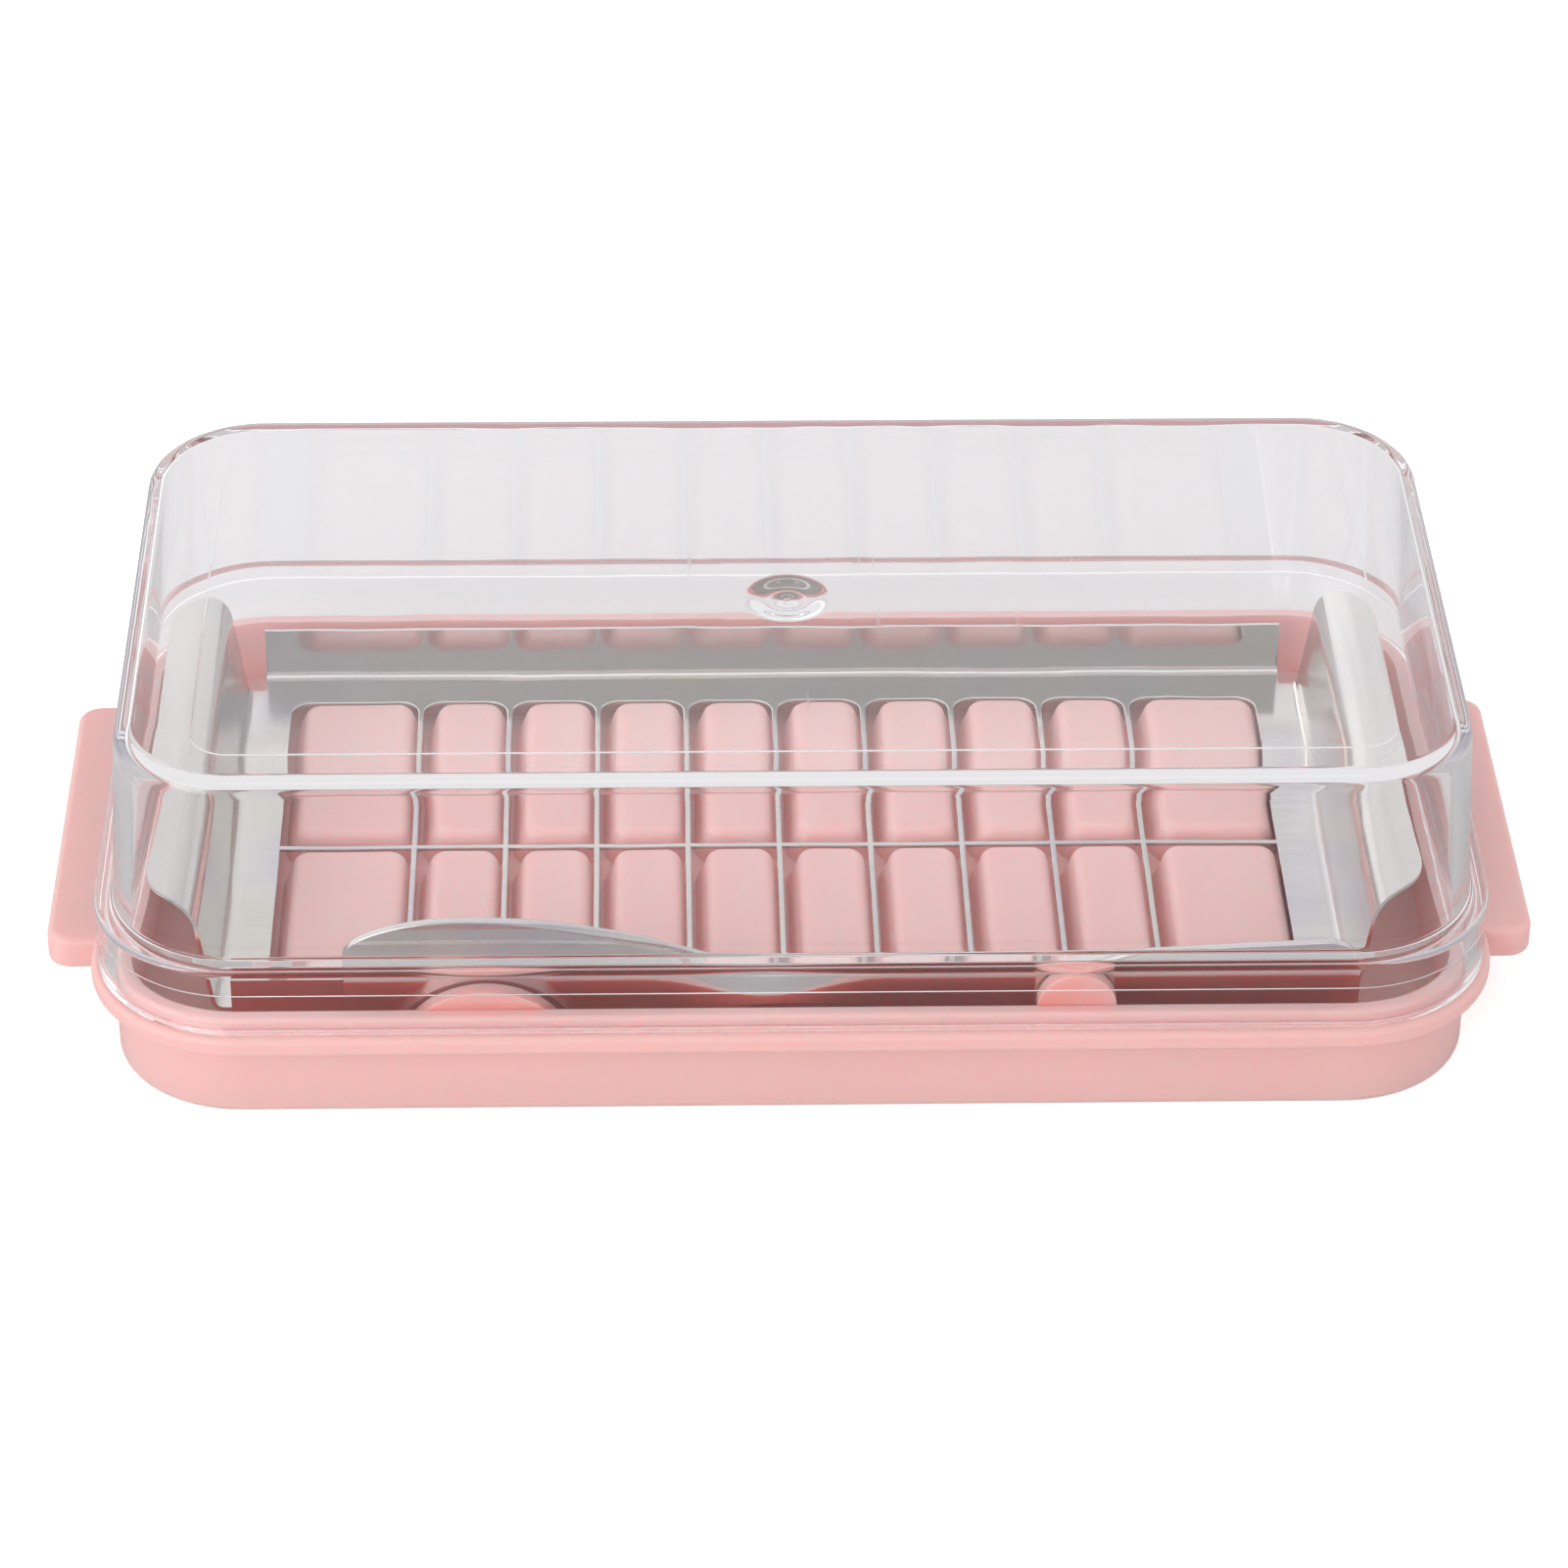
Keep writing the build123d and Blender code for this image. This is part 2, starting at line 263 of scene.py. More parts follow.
class Graph:
    """A node tree, with short calls for adding and joining nodes."""

    def __init__(self, tree: bpy.types.NodeTree) -> None:
        """Start on an emptied tree."""
        self.tree = tree
        self.tree.nodes.clear()

    def add(
        self, kind: str, inputs: dict[str | int, object] | None = None, **settings: object
    ) -> bpy.types.Node:
        """Add a node.

        Args:
            kind: The node's type name, without its ShaderNode prefix.
            inputs: Values, or output sockets, for its input sockets.
            settings: Values for its own properties.

        Returns:
            The new node.
        """
        node = self.tree.nodes.new(kind if kind.startswith("Node") else "ShaderNode" + kind)
        for name, value in settings.items():
            setattr(node, name, value)
        for socket, value in (inputs or {}).items():
            if isinstance(value, bpy.types.NodeSocket):
                self.join(value, node.inputs[socket])
            else:
                node.inputs[socket].default_value = value
        return node

    def join(self, source: Socket, target: Socket) -> None:
        """Link an output to an input."""
        self.tree.links.new(source, target)

    def place(self) -> Socket:
        """Give the object's own coordinates, in metres."""
        return self.add("TexCoord").outputs["Object"]

    def reckon(self, operation: str, *values: object) -> Socket:
        """Combine numbers.

        Args:
            operation: The Math node's operation.
            values: Its numbers or sockets, in order.

        Returns:
            The result.
        """
        return self.add("Math", dict(enumerate(values)), operation=operation).outputs[0]

    def noise(self, place: Socket, scale: float | Socket, detail: float = 2.0) -> Socket:
        """Add soft noise around a half.

        Args:
            place: The coordinates, in metres.
            scale: How many features there are to the metre.
            detail: How many finer layers it has.

        Returns:
            The noise, from 0 to 1.
        """
        return self.add("TexNoise", {"Vector": place, "Scale": scale, "Detail": detail}).outputs[0]

    def ramp(self, value: Socket, source: Span = (0.0, 1.0), target: Span = (0.0, 1.0)) -> Socket:
        """Bring a value from one range to another, and keep it in there.

        Args:
            value: The value.
            source: The range that it comes from.
            target: The range that it goes to.

        Returns:
            The new value's socket.
        """
        ends = {"From Min": source[0], "From Max": source[1], "To Min": target[0], "To Max": target[1]}
        return self.add("MapRange", {"Value": value, **ends}).outputs[0]

    def blend(self, share: Socket, first: object, second: object) -> Socket:
        """Mix two colours.

        Args:
            share: How much of the second there is.
            first: A colour or a socket.
            second: A colour or a socket.

        Returns:
            The mixed colour.
        """
        return self.add("Mix", {"Factor": share, 6: first, 7: second}, data_type="RGBA").outputs[2]


def new_material(name: str) -> tuple[bpy.types.Material, Graph]:
    """Make an empty node material.

    Args:
        name: The material's name.

    Returns:
        The material and its node graph.
    """
    material = bpy.data.materials.new(name)
    material.use_nodes = True
    return material, Graph(material.node_tree)


@dataclass(frozen=True)
class Effect:
    """A shared surface effect: a node group that gives masks and heights."""

    name: str
    inputs: tuple[tuple[str, float], ...]
    outputs: tuple[str, ...]
    wire: Callable[[Graph, bpy.types.Node, bpy.types.Node], None]

    def place(self, graph: Graph, **values: float) -> bpy.types.Node:
        """Put the effect into a material.

        Args:
            graph: The material's graph.
            values: This material's values for the effect's inputs.

        Returns:
            The group node.
        """
        group = bpy.data.node_groups.get(self.name) or self.build()
        node = graph.add("Group", node_tree=group)
        for name, value in values.items():
            node.inputs[name].default_value = value
        return node

    def build(self) -> bpy.types.NodeTree:
        """Build the group, once.

        Returns:
            The group.
        """
        group = bpy.data.node_groups.new(self.name, "ShaderNodeTree")
        for name, value in self.inputs:
            socket = group.interface.new_socket(name, in_out="INPUT", socket_type="NodeSocketFloat")
            socket.default_value = value
        for name in self.outputs:
            group.interface.new_socket(name, in_out="OUTPUT", socket_type="NodeSocketFloat")
        graph = Graph(group)
        self.wire(graph, graph.add("NodeGroupInput"), graph.add("NodeGroupOutput"))
        return group


def wire_handling(graph: Graph, given: bpy.types.Node, out: bpy.types.Node) -> None:
    """Wire the marks of use: broad smears, fine hairlines and rubbed edges.

    Args:
        graph: The group's graph.
        given: Its inputs: Smears and Hairlines, both to the metre.
        out: Its outputs: Smear, Hairline and Edge.
    """
    place = graph.place()
    smear = graph.noise(place, given.outputs["Smears"], 3.0)
    graph.join(graph.ramp(smear, SOFT), out.inputs["Smear"])
    drawn = {"Vector": place, "Rotation": (0.3, 0.2, 0.7), "Scale": (1.0, 0.03, 0.03)}
    hair = graph.noise(graph.add("Mapping", drawn).outputs[0], given.outputs["Hairlines"], 1.0)
    graph.join(graph.ramp(hair, (0.70, 0.76)), out.inputs["Hairline"])
    sharp = graph.add("NewGeometry").outputs["Pointiness"]
    graph.join(graph.ramp(sharp, (0.51, 0.58)), out.inputs["Edge"])


def wire_grain(graph: Graph, given: bpy.types.Node, out: bpy.types.Node) -> None:
    """Wire a rolled sheet's grain, which runs along the dish.

    Args:
        graph: The group's graph.
        given: Its inputs: Lines, to the metre, and Stretch.
        out: Its outputs: Line and Cloud.
    """
    place = graph.place()
    scale = graph.add("CombineXYZ", {0: given.outputs["Stretch"], 1: 1.0, 2: 1.0}).outputs[0]
    drawn = graph.add("Mapping", {"Vector": place, "Scale": scale}).outputs[0]
    graph.join(graph.ramp(graph.noise(drawn, given.outputs["Lines"], 3.0), SOFT), out.inputs["Line"])
    graph.join(graph.ramp(graph.noise(place, CLOUDS, 3.0), SOFT), out.inputs["Cloud"])


HANDLING = Effect(
    "marks_of_use", (("Smears", 40.0), ("Hairlines", 900.0)), ("Smear", "Hairline", "Edge"), wire_handling
)
GRAIN = Effect("rolled_grain", (("Lines", 2600.0), ("Stretch", 0.02)), ("Line", "Cloud"), wire_grain)


@dataclass(frozen=True)
class MouldedPlastic:
    """Opaque injection-moulded plastic: soft gloss, light that sinks in a little, rubbed edges, and a painted
    red shade deep in the hollow under the lid.
    """

    name: str = "pink_moulded_plastic"
    colour: Colour = linear(241, 197, 194)
    deep: Colour = linear(237, 189, 186)
    rubbed: Colour = linear(245, 209, 206)
    # Painted shade: the darker red that stands in for shade and bounced red light deep in the hollow under
    # the lid.
    painted_red_shade: Colour = linear(240, 146, 136)
    roughness: Span = (0.30, 0.40)
    sink: float = 0.0028
    sink_colours: tuple[float, float, float] = (1.0, 0.3, 0.25)
    texture: float = 0.00002
    hollow_middle: tuple[float, float, float] = (0.0697, 0.0304, 1.0)
    hollow_corner: float = 0.0146
    sheet_end: float = 0.086
    channel_edge: float = -0.0365
    open_from: Span = (-0.004, 0.0088)
    corner_fade: float = 0.0001
    end_fade: float = 0.001
    edge_fade: float = 0.0003
    grains: float = 5200.0
    clouded: float = 0.35
    worn: float = 0.5

    def material(self) -> bpy.types.Material:
        """Build the node material.

        Returns:
            The material.
        """
        material, graph = new_material(self.name)
        marks = HANDLING.place(graph, Smears=22.0, Hairlines=700.0)
        place = graph.place()
        cloud = graph.ramp(marks.outputs["Smear"], target=(0.0, self.clouded))
        open_air = graph.blend(cloud, self.colour, self.deep)
        # Painted shade: the hollow under the lid gets the darker red instead of the plastic's own colour.
        base = graph.blend(self.painted_shade_mask(graph, place), open_air, self.painted_red_shade)
        edge = graph.ramp(marks.outputs["Edge"], target=(0.0, self.worn))
        skin = {"Height": graph.noise(place, self.grains), "Distance": self.texture, "Strength": 0.25}
        shader = graph.add(
            "BsdfPrincipled",
            {
                "Base Color": graph.blend(edge, base, self.rubbed),
                "Roughness": graph.ramp(marks.outputs["Smear"], target=self.roughness),
                "Normal": graph.add("Bump", skin).outputs[0],
                "IOR": 1.5,
                "Subsurface Weight": 1.0,
                "Subsurface Radius": self.sink_colours,
                "Subsurface Scale": self.sink,
            },
        )
        graph.add("OutputMaterial", {"Surface": shader.outputs[0]})
        return material

    def painted_shade_mask(self, graph: Graph, place: Socket) -> Socket:
        """Mask what lies deep under the lid, where a painted red shade stands in for shade and the plastic's
        own red light coming back on it.

        Args:
            graph: The material's graph.
            place: The coordinates, in metres.

        Returns:
            The mask, which leaves out what stands above the sheet.
        """
        away = graph.add("VectorMath", {0: place}, operation="ABSOLUTE").outputs[0]
        past = graph.add("VectorMath", {0: away, 1: self.hollow_middle}, operation="SUBTRACT").outputs[0]
        corner = graph.add("VectorMath", {0: past, 1: (0.0, 0.0, 0.0)}, operation="MAXIMUM").outputs[0]
        reach = graph.add("VectorMath", {0: corner}, operation="LENGTH").outputs["Value"]
        under = graph.ramp(reach, (self.hollow_corner, self.hollow_corner + self.corner_fade), (1.0, 0.0))
        parts = graph.add("SeparateXYZ", {0: place})
        reach_x = graph.reckon("ABSOLUTE", parts.outputs["X"])
        along = graph.ramp(reach_x, (self.sheet_end, self.sheet_end + self.end_fade), (1.0, 0.0))
        behind = graph.ramp(parts.outputs["Y"], (self.channel_edge, self.channel_edge + self.edge_fade))
        above = graph.ramp(parts.outputs["Z"], self.open_from)
        open_air = graph.reckon("MULTIPLY", graph.reckon("MULTIPLY", along, behind), above)
        return graph.add("Math", {0: under, 1: open_air}, operation="SUBTRACT", use_clamp=True).outputs[0]


@dataclass(frozen=True)
class ClearPlastic:
    """Clear rigid plastic, whose walls the mould left a little wavy. Light reaches what it covers."""

    name: str = "clear_rigid_plastic"
    colour: Colour = (0.973, 0.968, 0.98, 1.0)
    shade: Colour = (0.93, 0.925, 0.935, 1.0)
    # far_light and far_light_low are painted glows that end paths past far_bounces; the darker low one is
    # painted shade near the skirt's foot.
    far_light: Colour = (0.82, 0.81, 0.82, 1.0)
    far_light_low: Colour = (0.42, 0.40, 0.45, 1.0)
    low_to: float = 0.026
    far_bounces: float = 9.5
    ior: float = 1.5
    waves: float = 75.0
    wave_height: float = 0.00008
    wavy_from: float = 0.036
    wavy_to: float = 0.0452
    low_fade: float = 0.014
    least_wave: float = 0.35
    top_wave: float = 0.04
    wave_fade: Span = (0.002, 0.0012)
    scratched: float = 0.06

    def material(self) -> bpy.types.Material:
        """Build the node material.

        Returns:
            The material.
        """
        material, graph = new_material(self.name)
        marks = HANDLING.place(graph, Smears=30.0, Hairlines=800.0)
        path = graph.add("LightPath")
        shader = graph.add(
            "BsdfPrincipled",
            {
                "Base Color": self.colour,
                "Roughness": graph.ramp(marks.outputs["Hairline"], target=(0.0, self.scratched)),
                "Normal": self.wavy_normal(graph),
                "IOR": self.ior,
                "Transmission Weight": 1.0,
            },
        )
        # Painted glow: past far_bounces the wall emits a fixed light instead of tracing on, darker low down
        # as painted shade.
        deep = graph.reckon("GREATER_THAN", path.outputs["Ray Depth"], self.far_bounces)
        height = graph.add("SeparateXYZ", {0: graph.place()}).outputs["Z"]
        upper = graph.ramp(height, (self.low_to, self.low_to + self.low_fade))
        far = graph.add("Emission", {"Color": graph.blend(upper, self.far_light_low, self.far_light)})
        seen = graph.add("MixShader", {0: deep, 1: shader.outputs[0], 2: far.outputs[0]})
        clear = graph.add("BsdfTransparent", {"Color": self.shade})
        shadow = path.outputs["Is Shadow Ray"]
        lit = graph.add("MixShader", {0: shadow, 1: seen.outputs[0], 2: clear.outputs[0]})
        graph.add("OutputMaterial", {"Surface": lit.outputs[0]})
        return material

    def wavy_normal(self, graph: Graph) -> Socket:
        """Wave the upright walls, most of all just under the top, and leave the top flat.

        Args:
            graph: The material's graph.

        Returns:
            The normal.
        """
        place = graph.place()
        height = graph.add("SeparateXYZ", {0: place}).outputs["Z"]
        rising, falling = self.wave_fade
        upper = graph.ramp(height, (self.wavy_from, self.wavy_to - rising), (self.least_wave, 1.0))
        below = graph.ramp(height, (self.wavy_to, self.wavy_to + falling), (1.0, self.top_wave))
        much = graph.reckon("MULTIPLY", upper, below)
        waves = graph.reckon("MULTIPLY", graph.noise(place, self.waves, 1.0), much)
        bump = graph.add("Bump", {"Height": waves, "Distance": self.wave_height, "Strength": 1.0})
        return bump.outputs[0]


@dataclass(frozen=True)
class SheetSteel:
    """Stainless sheet: fine rolled grain, faint colour clouds, hairlines from washing up."""

    name: str
    light: Colour = linear(217, 214, 211)
    shade: Colour = linear(196, 196, 202)
    warm: Colour = linear(205, 203, 184)
    cool: Colour = linear(196, 190, 206)
    roughness: Span = (0.10, 0.24)
    lines: float = 2600.0
    grain: float = 0.000004
    clouds: Span = (31.0, 43.0)
    tinted: float = 0.45
    worn: float = 0.6

    def material(self) -> bpy.types.Material:
        """Build the node material.

        Returns:
            The material.
        """
        material, graph = new_material(self.name)
        grain = GRAIN.place(graph, Lines=self.lines, Stretch=0.02)
        marks = HANDLING.place(graph, Smears=60.0, Hairlines=1500.0)
        line, cloud, hair = grain.outputs["Line"], grain.outputs["Cloud"], marks.outputs["Hairline"]
        base = graph.blend(graph.reckon("MULTIPLY", line, cloud), self.light, self.shade)
        place = graph.place()
        for scale, start, tint in zip(self.clouds, (0.48, 0.5), (self.warm, self.cool)):
            much = graph.ramp(graph.noise(place, scale), (start, start + 0.18), (0.0, self.tinted))
            base = graph.blend(much, base, tint)
        height = graph.reckon("SUBTRACT", line, hair)
        bump = graph.add("Bump", {"Height": height, "Distance": self.grain, "Strength": 0.5})
        edge = graph.ramp(marks.outputs["Edge"], target=(0.0, self.worn))
        rough = graph.ramp(graph.reckon("MAXIMUM", cloud, hair), target=self.roughness)
        shader = graph.add(
            "BsdfPrincipled",
            {
                "Base Color": graph.blend(edge, base, self.light),
                "Metallic": 1.0,
                "Roughness": rough,
                "Normal": bump.outputs[0],
            },
        )
        graph.add("OutputMaterial", {"Surface": shader.outputs[0]})
        return material


# -------------------------------------------------------------------- pieces


@dataclass
class CarriedOver:
    """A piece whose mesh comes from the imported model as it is, and which gets its finish here."""

    node: str
    slot: str

    def dress(self, material: bpy.types.Material) -> bpy.types.Object:
        """Give the piece its finish.

        Args:
            material: The finish.

        Returns:
            The piece.
        """
        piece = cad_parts[self.node]
        piece.data.materials.clear()
        piece.data.materials.append(material)
        return piece


@dataclass
class Tray(CarriedOver):
    """The moulded dish with its flange, upstand, wings, pads, rails and saddles."""

    node: str = "tray"
    slot: str = "pink_plastic"


@dataclass
class Cutter(CarriedOver):
    """The pressed sheet with its slots, upturned walls and two curled handles."""

    node: str = "cutter"
    slot: str = "cutter_steel"


@dataclass
class Lid:
    """The clear lid: one shell with a skirt, a shoulder, a drafted dome and a raised panel."""

    cavity: Outline = Outline(84.2, 44.9, 14.5)
    corner_segments: int = 18
    seat_z: float = 13.32
    skirt_out: float = 4.25
    skirt_inner_out: float = 2.25
    seat_top_z: float = 18.5
    seat_step: float = 0.25
    skirt_ceiling_z: float = 21.4
    shoulder_z: float = 23.4
    shoulder_step: float = 2.45
    shoulder_slope: float = 0.8
    wall: float = 2.0
    dome_rise: float = 25.05
    core_rise: float = 24.75
    draft: float = 3.4
    dome_round: float = 2.4
    core_round: float = 0.3
    shoulder_round: float = 0.6
    shoulder_blend: float = 0.4
    core_blend: float = 0.5
    panel: Outline = Outline(74.821, 38.2, 5.0, (0.0, -0.72))
    panel_step: float = 0.12
    panel_step_rise: float = 0.12
    gate: Outline = Outline(2.6, 2.6, 2.6, (-0.2, -1.05))
    gate_depth: float = 0.12
    boss: Outline = Outline(6.0, 6.0, 6.0, (-0.2, -1.05))
    boss_depth: float = 0.95
    boss_floor: float = 2.4
    boss_rings: int = 9
    nub_radius: float = 0.7
    nub_height: float = 0.4
    nub_steps: tuple[float, ...] = (0.4, 0.35, 0.25)
    nub_taper: float = 0.6
    gate_wall: float = 0.15
    rim_round: float = 0.12
    seat_round: float = 0.08
    panel_rounds: Span = (0.05, 0.07)

    @property
    def lean(self) -> float:
        """How far the dome's walls lean in over their height."""
        return self.dome_rise * math.tan(math.radians(self.draft))

    @property
    def core_out(self) -> float:
        """How far the dome's inside is outside the cavity's outline, at its foot."""
        return self.skirt_out - self.shoulder_step - self.wall

    @property
    def ceiling_z(self) -> float:
        """The height of the inside of the top."""
        return self.skirt_ceiling_z + self.core_rise

    @property
    def panel_z(self) -> float:
        """The height of the raised panel, which is the dish's highest face."""
        return self.shoulder_z + self.dome_rise + self.panel_step_rise

    def build(self, finish: ClearPlastic) -> bpy.types.Object:
        """Build the lid.

        Args:
            finish: Its finish.

        Returns:
            The finished piece.
        """
        bench = fresh_plate("lid_shell", self.cavity.grown(self.skirt_out), self.seat_z, self.corner_segments)
        self.raise_outside(bench)
        self.hollow_inside(bench)
        self.add_panel(bench)
        self.sink_gate(bench)
        self.hang_boss(bench)
        self.round_edges(bench)
        return bench.finish("lid", "lid", "clear_plastic", finish.material())

    def raise_outside(self, bench: Bench) -> None:
        """Extrude the skirt, step in over the shoulder and draw up the dome.

        Args:
            bench: The bench that the lid is on.
        """
        bpy.ops.mesh.extrude_region_move(
            TRANSFORM_OT_translate={"value": (0.0, 0.0, self.shoulder_z - self.shoulder_slope - self.seat_z)}
        )
        bench.step(self.shoulder_step, self.shoulder_slope)
        bench.step(self.lean, self.dome_rise)

    def hollow_inside(self, bench: Bench) -> None:
        """Push the inside up from the skirt's rim: seat, skirt, inner shoulder and dome.

        Args:
            bench: The bench that the lid is on.
        """
        bench.pick(Pick.FACES, self.cavity.at(self.seat_z, self.skirt_out))
        bench.step(self.skirt_out - self.skirt_inner_out)
        bench.step(0.0, self.seat_z - self.seat_top_z)
        bench.step(self.seat_step)
        bench.step(0.0, self.seat_top_z - self.skirt_ceiling_z)
        bench.step(self.skirt_inner_out - self.seat_step - self.core_out)
        bench.step(self.lean, -self.core_rise)

    def add_panel(self, bench: Bench) -> None:
        """Set the raised panel into the top.

        Args:
            bench: The bench that the lid is on.
        """
        top = self.shoulder_z + self.dome_rise
        ring = self.cavity.at(top, self.skirt_out - self.shoulder_step - self.lean)
        bench.pick(Pick.FACES, ring)
        bpy.ops.mesh.delete(type="ONLY_FACE")
        bpy.ops.mesh.primitive_plane_add(size=2.0)
        bpy.ops.mesh.select_mode(type="VERT")
        shape_plate(self.panel, top, self.corner_segments)
        bpy.ops.mesh.select_mode(type="FACE")
        bench.step(self.panel_step, self.panel_step_rise)
        rim = self.panel.at(top)
        bench.pick(Pick.EDGES, lambda p: ring(p) or rim(p))
        bpy.ops.mesh.bridge_edge_loops()

    def open_disc(self, bench: Bench, around: Callable[[Vector], bool], disc: Outline, height: float) -> None:
        """Take out the flat face inside a ring, join a disc to the ring instead, and select the disc.

        Args:
            bench: The bench that the lid is on.
            around: The test for the ring's points.
            disc: The disc's outline.
            height: The face's Z.
        """
        facets = 4 * (self.corner_segments + 1)
        bench.pick(Pick.FACES, around)
        bpy.ops.mesh.delete(type="ONLY_FACE")
        bpy.ops.mesh.primitive_circle_add(vertices=facets, radius=disc.corner, fill_type="NGON")
        half_step = math.pi / facets
        bpy.ops.transform.rotate(value=half_step, orient_axis="Z", center_override=(0.0, 0.0, 0.0))
        bpy.ops.transform.translate(value=(*disc.middle, height))
        edge = disc.at(height)
        bench.pick(Pick.EDGES, lambda p: around(p) or edge(p))
        bpy.ops.mesh.bridge_edge_loops()
        bpy.ops.mesh.select_all(action="SELECT")
        bpy.ops.mesh.normals_make_consistent(inside=False)
        bench.pick(Pick.FACES, edge)

    def sink_gate(self, bench: Bench) -> None:
        """Sink the moulding gate's shallow dish into the panel.

        Args:
            bench: The bench that the lid is on.
        """
        inner = self.panel.at(self.panel_z, -self.panel_step)
        self.open_disc(bench, inner, self.gate, self.panel_z)
        bench.step(self.gate_wall, -self.gate_depth)

    def hang_boss(self, bench: Bench) -> None:
        """Let the thick spot under the gate swell down from the ceiling, with the gate's nub on it.

        Args:
            bench: The bench that the lid is on.
        """
        inner = self.cavity.at(self.ceiling_z, self.core_out - self.lean)
        self.open_disc(bench, inner, self.boss, self.ceiling_z)
        width = (self.boss.corner - self.boss_floor) / self.boss_rings
        rings = range(self.boss_rings + 1)
        depths = [self.boss_depth * ease(ring, (0, 0.0), (self.boss_rings, 1.0)) for ring in rings]
        for before, after in zip(depths, depths[1:]):
            bench.step(width, after - before)
        bench.step(self.boss_floor - self.nub_radius)
        for share in self.nub_steps:
            bench.step(self.nub_radius * share * self.nub_taper, self.nub_height * share)

    def round_edges(self, bench: Bench) -> None:
        """Round every ring that the mould leaves rounded.

        Args:
            bench: The bench that the lid is on.
        """
        top = self.shoulder_z + self.dome_rise
        dome_out = self.skirt_out - self.shoulder_step
        for height, outside, radius in (
            (self.shoulder_z - self.shoulder_slope, self.skirt_out, self.shoulder_round),
            (self.shoulder_z, dome_out, self.shoulder_blend),
            (top, dome_out - self.lean, self.dome_round),
            (self.skirt_ceiling_z, self.skirt_inner_out - self.seat_step, self.core_blend),
            (self.skirt_ceiling_z, self.core_out, self.core_blend),
            (self.ceiling_z, self.core_out - self.lean, self.core_round),
            (self.seat_z, self.skirt_out, self.rim_round),
            (self.seat_z, self.skirt_inner_out, self.rim_round),
            (self.seat_top_z, self.skirt_inner_out, self.seat_round),
            (self.seat_top_z, self.skirt_inner_out - self.seat_step, self.seat_round),
        ):
            bench.round_ring(self.cavity.at(height, outside), radius)
        foot_round, edge_round = self.panel_rounds
        bench.round_ring(self.panel.at(top), foot_round, 3)
        bench.round_ring(self.panel.at(self.panel_z, -self.panel_step), edge_round, 3)


